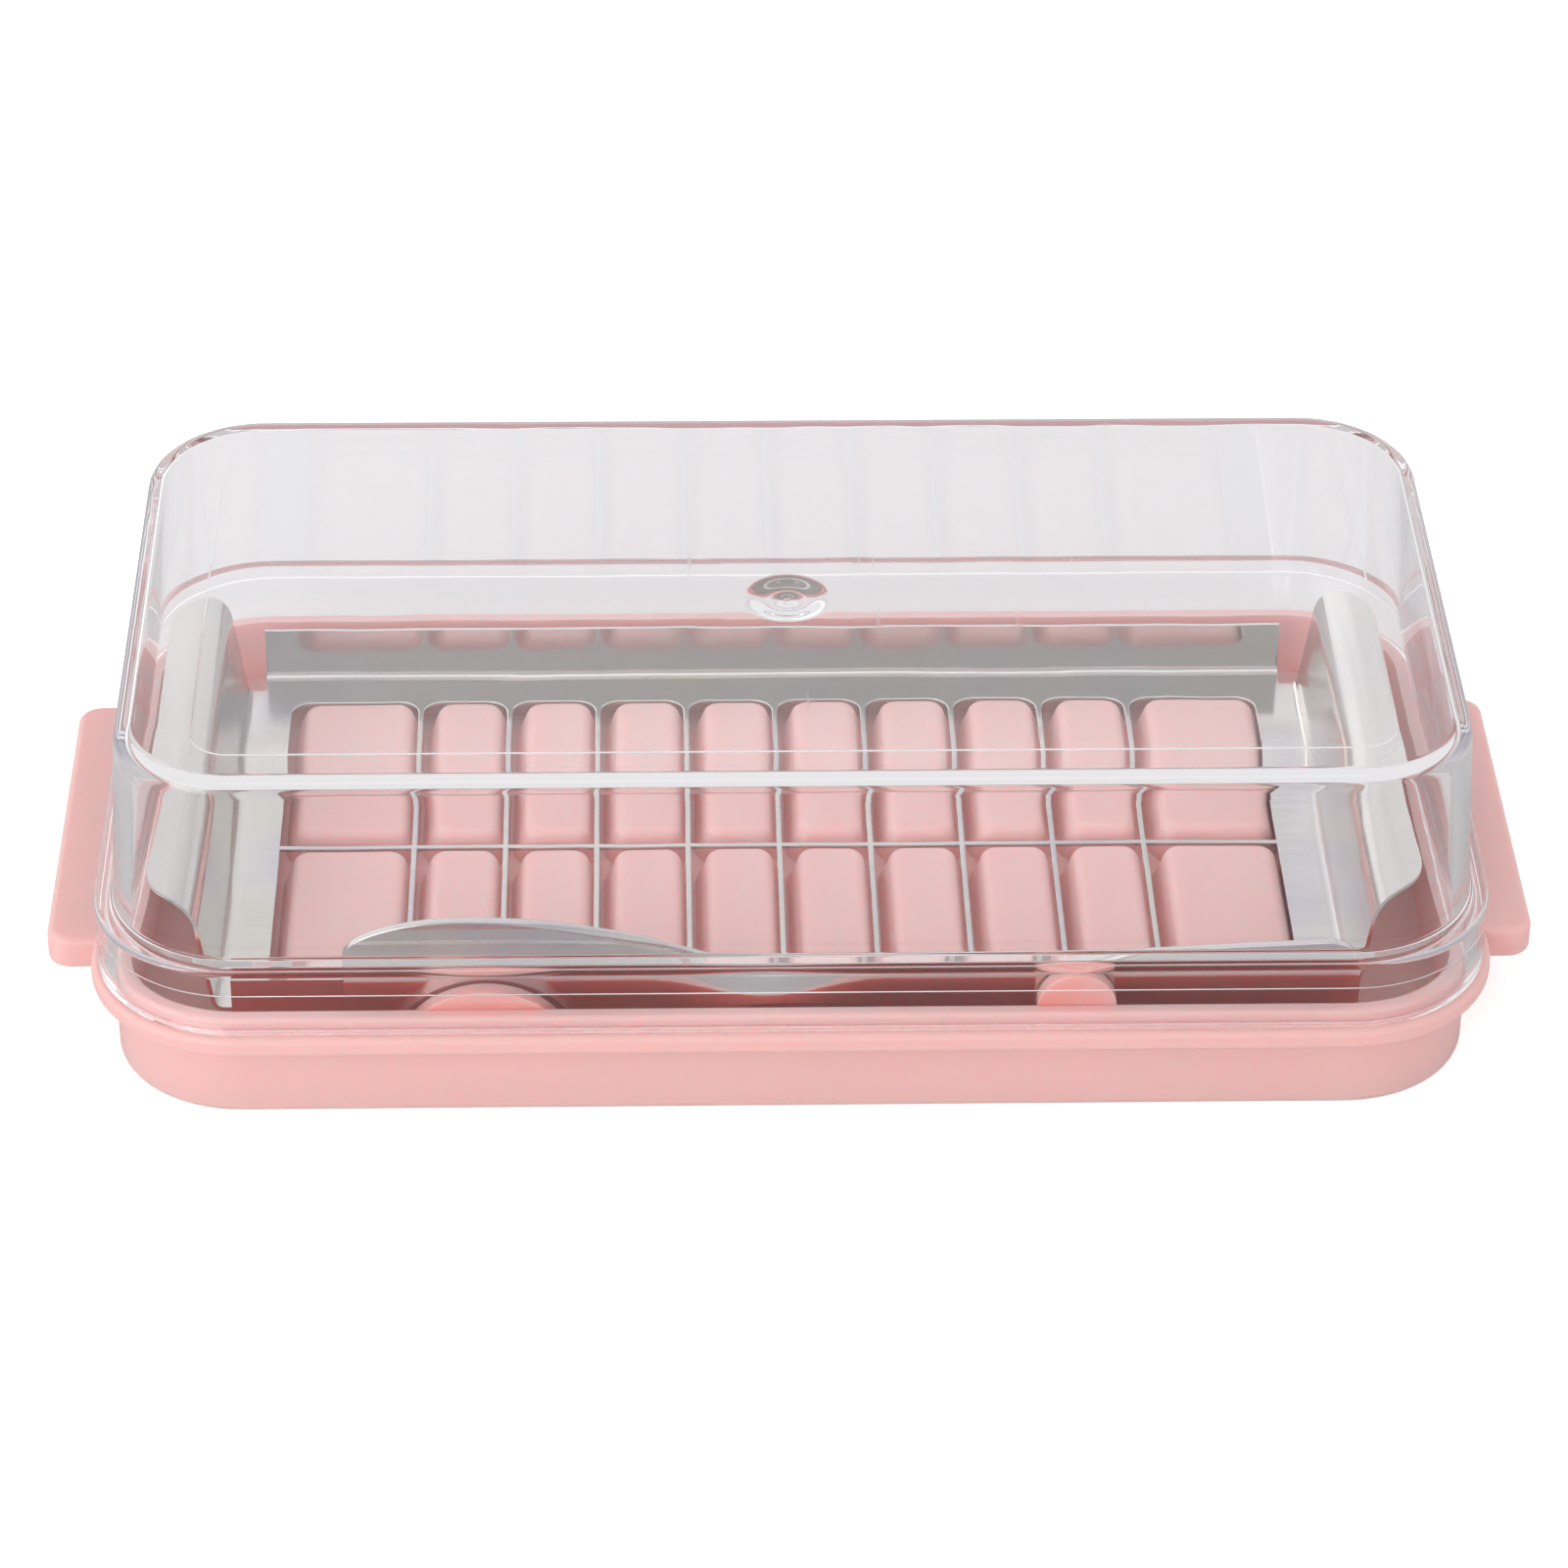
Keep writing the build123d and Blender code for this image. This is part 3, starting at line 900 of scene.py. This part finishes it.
@dataclass
class ButterKnife:
    """The butter knife: one stamped blank on its edge, with a ground back and a twisted neck."""

    front_y: float = -42.4
    thickness: float = 1.0
    tip_x: float = -56.6
    nose_run: float = 12.0
    nose_low_z: float = 11.5
    nose_high_z: float = 21.1
    edge_z: float = 5.5
    spine_x: float = -41.0
    spine_z: float = 27.1
    spine_middle: Span = (-20.0, 24.0)
    spine_slope: float = -0.3
    edge_end_x: float = -28.6
    neck_x: float = -3.6
    neck_low_z: float = 13.5
    neck_high_z: float = 18.5
    heel_x: float = 59.2
    end_x: float = 71.2
    end_z: float = 22.66
    end_round: float = 4.5
    edge_round: float = 0.28
    ground_start_x: float = -40.0
    ground_full_x: float = -14.0
    ground_width: float = 1.7
    ground_slope: float = 0.14
    twist: float = 22.0
    twist_reach: float = 15.0
    lean: float = 6.0
    lean_z: float = 17.3
    column_gap: float = 1.5
    nose_power: float = 2.6
    ground_least: float = 0.35
    rows: tuple[float, ...] = (0.0, 0.06, 0.2, 0.4, 0.6, 0.8, 0.96, 1.0)

    def build(self, finish: SheetSteel) -> bpy.types.Object:
        """Build the knife, column by column along its length.

        Args:
            finish: Its finish.

        Returns:
            The finished piece.
        """
        bpy.ops.object.select_all(action="DESELECT")
        bpy.ops.mesh.primitive_plane_add(size=1.0)
        bench = Bench("butter_knife_blank")
        self.start_column(bench)
        places = self.places()
        for before, here in zip(places, places[1:]):
            bench.pick(Pick.POINTS, self.column(before))
            bpy.ops.mesh.extrude_region_move(TRANSFORM_OT_translate={"value": (here - before, 0.0, 0.0)})
            self.fit_column(bench, before, here)
        for place in places:
            self.twist_column(bench, place)
        self.thicken()
        self.lean_forward()
        return bench.finish("knife", "butter_knife", "knife_steel", finish.material())

    def start_column(self, bench: Bench) -> None:
        """Turn one edge of the plane into the first upright column of points, at the tip.

        Args:
            bench: The knife's bench.
        """
        bench.pick(Pick.POINTS, lambda p: p.x > 0.0)
        bpy.ops.mesh.delete(type="VERT")
        bench.pick(Pick.EDGES, lambda p: True)
        cuts = len(self.rows) - 1
        bpy.ops.mesh.subdivide(number_cuts=cuts - 1)
        for cut, row in enumerate(self.rows):
            bench.pick(Pick.POINTS, lambda p, y=cut / cuts - 0.5: abs(p.y - y) < 0.001)
            bpy.ops.transform.translate(value=(0.0, row - cut / cuts, 0.0))
        bpy.ops.mesh.select_all(action="SELECT")
        bpy.ops.transform.rotate(value=math.radians(-90.0), orient_axis="X", center_override=(0.0, 0.0, 0.0))
        reach = self.high(self.tip_x) - self.ground(self.tip_x) - self.low(self.tip_x)
        scale = reach / self.rows[-2]
        bpy.ops.transform.resize(value=(1.0, 1.0, scale), center_override=(0.0, 0.0, 0.0))
        place = (self.tip_x + 0.5, self.front_y, self.low(self.tip_x) + 0.5 * scale)
        bpy.ops.transform.translate(value=place)
        top = self.low(self.tip_x) + scale
        bench.pick(Pick.POINTS, lambda p: p.z > top - 0.001)
        back = self.ground_slope * self.ground(self.tip_x)
        bpy.ops.transform.translate(value=(0.0, back, self.high(self.tip_x) - top))

    def places(self) -> list[float]:
        """List the columns' places along the knife, closest together round its two ends.

        Returns:
            The places, in order.
        """
        start = self.tip_x + self.nose_run
        stop = self.end_x - self.end_round
        count = round((stop - start) / self.column_gap)
        nose = [start - self.nose_run * math.cos(math.radians(angle)) for angle in range(0, 90, 6)]
        middle = [start + (stop - start) * step / count for step in range(count)]
        end = [stop + self.end_round * math.sin(math.radians(angle)) for angle in range(0, 91, 9)]
        return nose + middle + end

    def column(self, place: float) -> Callable[[Vector], bool]:
        """Make a test for the points of one column."""
        return lambda p: abs(p.x - place) < 0.004

    def fit_column(self, bench: Bench, before: float, here: float) -> None:
        """Fit a column, still as tall as the one before, to the outline at its place.

        Args:
            bench: The bench that the knife is on.
            before: The place of the column before.
            here: This column's place.
        """
        crease = {place: self.high(place) - self.ground(place) for place in (before, here)}
        column = self.column(here)
        bench.pick(Pick.POINTS, lambda p: column(p) and p.z > crease[before] + 0.01)
        back = self.ground_slope * (self.ground(here) - self.ground(before))
        bpy.ops.transform.translate(value=(0.0, back, self.high(here) - self.high(before) + ASIDE))
        bench.pick(Pick.POINTS, lambda p: column(p) and p.z < ASIDE)
        ratio = (crease[here] - self.low(here)) / (crease[before] - self.low(before))
        foot = (here, self.front_y, self.low(before))
        bpy.ops.transform.resize(value=(1.0, 1.0, ratio), center_override=foot)
        bpy.ops.transform.translate(value=(0.0, 0.0, self.low(here) - self.low(before)))
        bench.pick(Pick.POINTS, lambda p: column(p) and p.z > ASIDE)
        bpy.ops.transform.translate(value=(0.0, 0.0, -ASIDE))

    def twist_column(self, bench: Bench, place: float) -> None:
        """Lean a column back near the neck, so that its face looks a little upwards.

        Args:
            bench: The bench that the knife is on.
            place: The column's place.
        """
        near = 1.0 - abs(place - self.neck_x) / self.twist_reach
        if near > 0.0 and bench.pick(Pick.POINTS, self.column(place)):
            angle = math.radians(self.twist * near * near * (3 - 2 * near))
            middle = (place, self.front_y, (self.low(place) + self.high(place)) / 2)
            bpy.ops.transform.rotate(value=angle, orient_axis="X", center_override=middle)

    def low(self, x: float) -> float:
        """Give the outline's lower height at a place along the knife.

        Args:
            x: The place.

        Returns:
            The height.
        """
        if x < self.tip_x + self.nose_run:
            return self.edge_z + (self.nose_low_z - self.edge_z) * (1 - self.nose_share(x))
        if x < self.edge_end_x:
            return self.edge_z
        if x < self.neck_x:
            return ease(x, (self.edge_end_x, self.edge_z), (self.neck_x, self.neck_low_z))
        if x < self.heel_x:
            return ease(x, (self.neck_x, self.neck_low_z), (self.heel_x, self.edge_z))
        return self.edge_z + self.end_drop(x)

    def high(self, x: float) -> float:
        """Give the outline's upper height at a place along the knife.

        Args:
            x: The place.

        Returns:
            The height.
        """
        if x < self.spine_x:
            left = (self.spine_x - x) / (self.spine_x - self.tip_x)
            return self.nose_high_z + (self.spine_z - self.nose_high_z) * math.sqrt(1 - left**2)
        if x < self.spine_middle[0]:
            share = (x - self.spine_x) / (self.spine_middle[0] - self.spine_x)
            return self.spine_z - (self.spine_z - self.spine_middle[1]) * share**1.9
        if x < self.neck_x:
            return ease(x, self.spine_middle, (self.neck_x, self.neck_high_z), self.spine_slope)
        share = (x - self.neck_x) / (self.end_x - self.neck_x)
        rise = self.end_z - self.neck_high_z
        return self.neck_high_z + rise * (1.5 * share**1.45 - 0.5 * share**3) - self.end_drop(x)

    def nose_share(self, x: float) -> float:
        """Give how far the nose's round has opened at a place along it."""
        left = max(0.0, (self.tip_x + self.nose_run - x) / self.nose_run)
        return (1 - left**self.nose_power) ** (1 / self.nose_power)

    def end_drop(self, x: float) -> float:
        """Give how far the round at the handle's end has closed in."""
        past = max(0.0, x - self.end_x + self.end_round)
        return self.end_round - math.sqrt(max(0.0, self.end_round**2 - past**2))

    def ground(self, x: float) -> float:
        """Give the width of the ground strip along the back of the blade.

        Args:
            x: The place.

        Returns:
            The width.
        """
        opening = ease(x, (self.ground_start_x, self.ground_least), (self.ground_full_x, self.ground_width))
        closing = ease(x, (self.ground_full_x, 1.0), (self.neck_x + 2.0, 0.2))
        return opening * closing

    def lean_forward(self) -> None:
        """Lean the knife against its saddle and post."""
        bpy.ops.mesh.select_all(action="SELECT")
        middle = (0.0, self.front_y, self.lean_z)
        bpy.ops.transform.rotate(value=math.radians(-self.lean), orient_axis="X", center_override=middle)

    def thicken(self) -> None:
        """Give the blank its thickness and break its edges all round."""
        bpy.ops.mesh.select_mode(type="FACE")
        bpy.ops.mesh.select_all(action="SELECT")
        bpy.ops.mesh.extrude_region_move(TRANSFORM_OT_translate={"value": (0.0, self.thickness, 0.0)})
        bpy.ops.mesh.region_to_loop()
        bpy.ops.mesh.bevel(
            affect="EDGES", offset_type="OFFSET", offset=self.edge_round, segments=3, profile=0.5
        )


# -------------------------------------------------------------------- studio


@dataclass(frozen=True)
class SoftLight:
    """One soft box that points at the dish."""

    name: str
    place: tuple[float, float, float]
    size: Span
    watts: float

    def hang(self) -> None:
        """Add the light."""
        data = bpy.data.lights.new(self.name, "AREA")
        data.shape = "RECTANGLE"
        data.size, data.size_y = self.size
        data.energy = self.watts
        light = bpy.data.objects.new(self.name, data)
        light.location = self.place
        light.rotation_euler = (-Vector(self.place)).to_track_quat("-Z", "Y").to_euler()
        bpy.context.scene.collection.objects.link(light)


@dataclass(frozen=True)
class Patch:
    """A round patch of the studio that is darker or brighter than the rest."""

    towards: tuple[float, float, float]
    cosines: Span
    level: float


@dataclass(frozen=True)
class Surround:
    """How bright the studio is all round: at its foot and overhead, left and right, front and back."""

    height: Span
    side: Span
    depth: Span
    patches: tuple[Patch, ...] = ()

    def strength(self, graph: Graph, direction: Socket) -> Socket:
        """Grade the brightness by direction.

        Args:
            graph: The world's graph.
            direction: The direction that is looked in.

        Returns:
            The strength.
        """
        parts = graph.add("SeparateXYZ", {0: direction})
        level = graph.ramp(parts.outputs["Z"], (-0.1, 0.5), self.height)
        shares = [
            graph.ramp(parts.outputs["X"], (-0.5, 0.5), self.side),
            graph.ramp(parts.outputs["Y"], (-0.6, 0.6), self.depth),
        ]
        for patch in self.patches:
            facing = graph.add("VectorMath", {0: direction, 1: patch.towards}, operation="DOT_PRODUCT")
            shares.append(graph.ramp(facing.outputs["Value"], patch.cosines, (1.0, patch.level)))
        for share in shares:
            level = graph.reckon("MULTIPLY", level, share)
        return level


@dataclass
class Studio:
    """The pale floor, the soft lights and the camera."""

    eye_mm: tuple[float, float, float] = (-17.3, -609.3, 419.4)
    yaw: float = 1.59
    pitch: float = 33.36
    roll: float = 0.48
    lens: float = 127.0
    floor_size: float = 6.0
    floor_glow: float = 0.5
    floor_white: float = 0.93
    floor_mirrored: float = 0.62
    mirrored: Surround = Surround(
        (1.0, 1.0),
        (1.18, 0.86),
        (1.0, 1.32),
        (Patch((0.0, -0.836, 0.549), (0.927, 0.985), 0.62), Patch((0.0, -0.342, 0.94), (0.98, 0.995), 1.9)),
    )
    lighting: Surround = Surround((1.02, 1.06), (1.03, 0.97), (1.0, 1.0))
    under_lid: float = 0.6
    bounces: int = 24
    key: SoftLight = SoftLight("key", (-0.5, -0.6, 0.3), (0.6, 0.4), 1.8)

    def build(self) -> None:
        """Build everything in the studio."""
        self.add_camera()
        self.add_world()
        self.add_floor()
        self.key.hang()
        scene = bpy.context.scene
        scene.view_settings.view_transform = "Standard"
        scene.cycles.max_bounces = self.bounces
        scene.cycles.glossy_bounces = self.bounces
        scene.cycles.transmission_bounces = self.bounces
        scene.cycles.transparent_max_bounces = self.bounces

    def add_camera(self) -> None:
        """Place the camera where the dish is seen from its front, a little above."""
        yaw, pitch, roll = (math.radians(v) for v in (self.yaw, self.pitch, self.roll))
        level = Vector((math.sin(yaw), math.cos(yaw), 0.0))
        ahead = level * math.cos(pitch) - Vector((0.0, 0.0, math.sin(pitch)))
        right = ahead.cross(Vector((0.0, 0.0, 1.0))).normalized()
        up = right.cross(ahead)
        side = right * math.cos(roll) + up * math.sin(roll)
        top = up * math.cos(roll) - right * math.sin(roll)
        data = bpy.data.cameras.new("camera")
        data.lens = self.lens
        data.clip_start = 0.01
        camera = bpy.data.objects.new("camera", data)
        turned = Matrix((side, top, -ahead)).transposed().to_4x4()
        camera.matrix_world = Matrix.Translation(Vector(self.eye_mm) * MM) @ turned
        bpy.context.scene.collection.objects.link(camera)
        bpy.context.scene.camera = camera

    def add_world(self) -> None:
        """Light the dish softly from all round, and show a white studio to whoever looks or mirrors."""
        world = bpy.data.worlds.new("studio")
        bpy.context.scene.world = world
        world.use_nodes = True
        graph = Graph(world.node_tree)
        path = graph.add("LightPath")
        direction = graph.add("TexCoord").outputs["Generated"]
        white = graph.add("Background", {"Color": (1.0, 1.0, 1.0, 1.0), "Strength": 1.0})
        shown = graph.add("Background", {"Strength": self.mirrored.strength(graph, direction)})
        crossed = path.outputs["Is Transmission Ray"]
        through = graph.reckon("MULTIPLY_ADD", crossed, self.under_lid, 1.0)
        level = graph.reckon("MULTIPLY", self.lighting.strength(graph, direction), through)
        soft = graph.add("Background", {"Strength": level})
        looked = graph.reckon("ADD", path.outputs["Is Camera Ray"], crossed)
        glanced = graph.reckon("GREATER_THAN", path.outputs["Glossy Depth"], 0.5)
        lit = graph.reckon("GREATER_THAN", path.outputs["Diffuse Depth"], 0.5)
        first = graph.add("MixShader", {0: looked, 1: soft.outputs[0], 2: white.outputs[0]})
        second = graph.add("MixShader", {0: glanced, 1: first.outputs[0], 2: shown.outputs[0]})
        third = graph.add("MixShader", {0: lit, 1: second.outputs[0], 2: soft.outputs[0]})
        graph.add("OutputWorld", {"Surface": third.outputs[0]})

    def add_floor(self) -> None:
        """Lay the pale floor, which shows white to the camera apart from the dish's shadow."""
        bpy.ops.object.select_all(action="DESELECT")
        bpy.ops.mesh.primitive_plane_add(size=self.floor_size)
        floor = bpy.context.object
        floor.name = "floor"
        material, graph = new_material("floor")
        diffuse = graph.add("BsdfDiffuse", {"Color": (*3 * (self.floor_white,), 1.0)})
        darker = graph.add("BsdfDiffuse", {"Color": (*3 * (self.floor_mirrored,), 1.0)})
        path = graph.add("LightPath")
        glanced = graph.reckon("GREATER_THAN", path.outputs["Glossy Depth"], 0.5)
        seen = graph.add("MixShader", {0: glanced, 1: diffuse.outputs[0], 2: darker.outputs[0]})
        direct = graph.reckon("MULTIPLY", path.outputs["Is Camera Ray"], self.floor_glow)
        glow = graph.add("Emission", {"Strength": direct})
        both = graph.add("AddShader", {0: seen.outputs[0], 1: glow.outputs[0]})
        graph.add("OutputMaterial", {"Surface": both.outputs[0]})
        floor.data.materials.append(material)


def main() -> None:
    """Build the dish and the studio."""
    logging.basicConfig(level=logging.INFO, format="%(message)s")
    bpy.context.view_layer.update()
    bpy.ops.object.select_all(action="DESELECT")
    polished = SheetSteel(
        "polished_steel",
        light=linear(222, 218, 216),
        shade=linear(206, 204, 208),
        warm=linear(210, 207, 196),
        cool=linear(200, 197, 208),
        roughness=(0.05, 0.12),
        lines=3400.0,
    )
    for piece in (
        Tray().dress(MouldedPlastic().material()),
        Cutter().dress(SheetSteel("rolled_steel").material()),
        ButterKnife().build(polished),
        Lid().build(ClearPlastic()),
    ):
        finish = piece.data.materials[0].name
        log.info("%s: %d faces, finished as %s", piece.name, len(piece.data.polygons), finish)
    Studio().build()


if __name__ == "__main__":
    main()
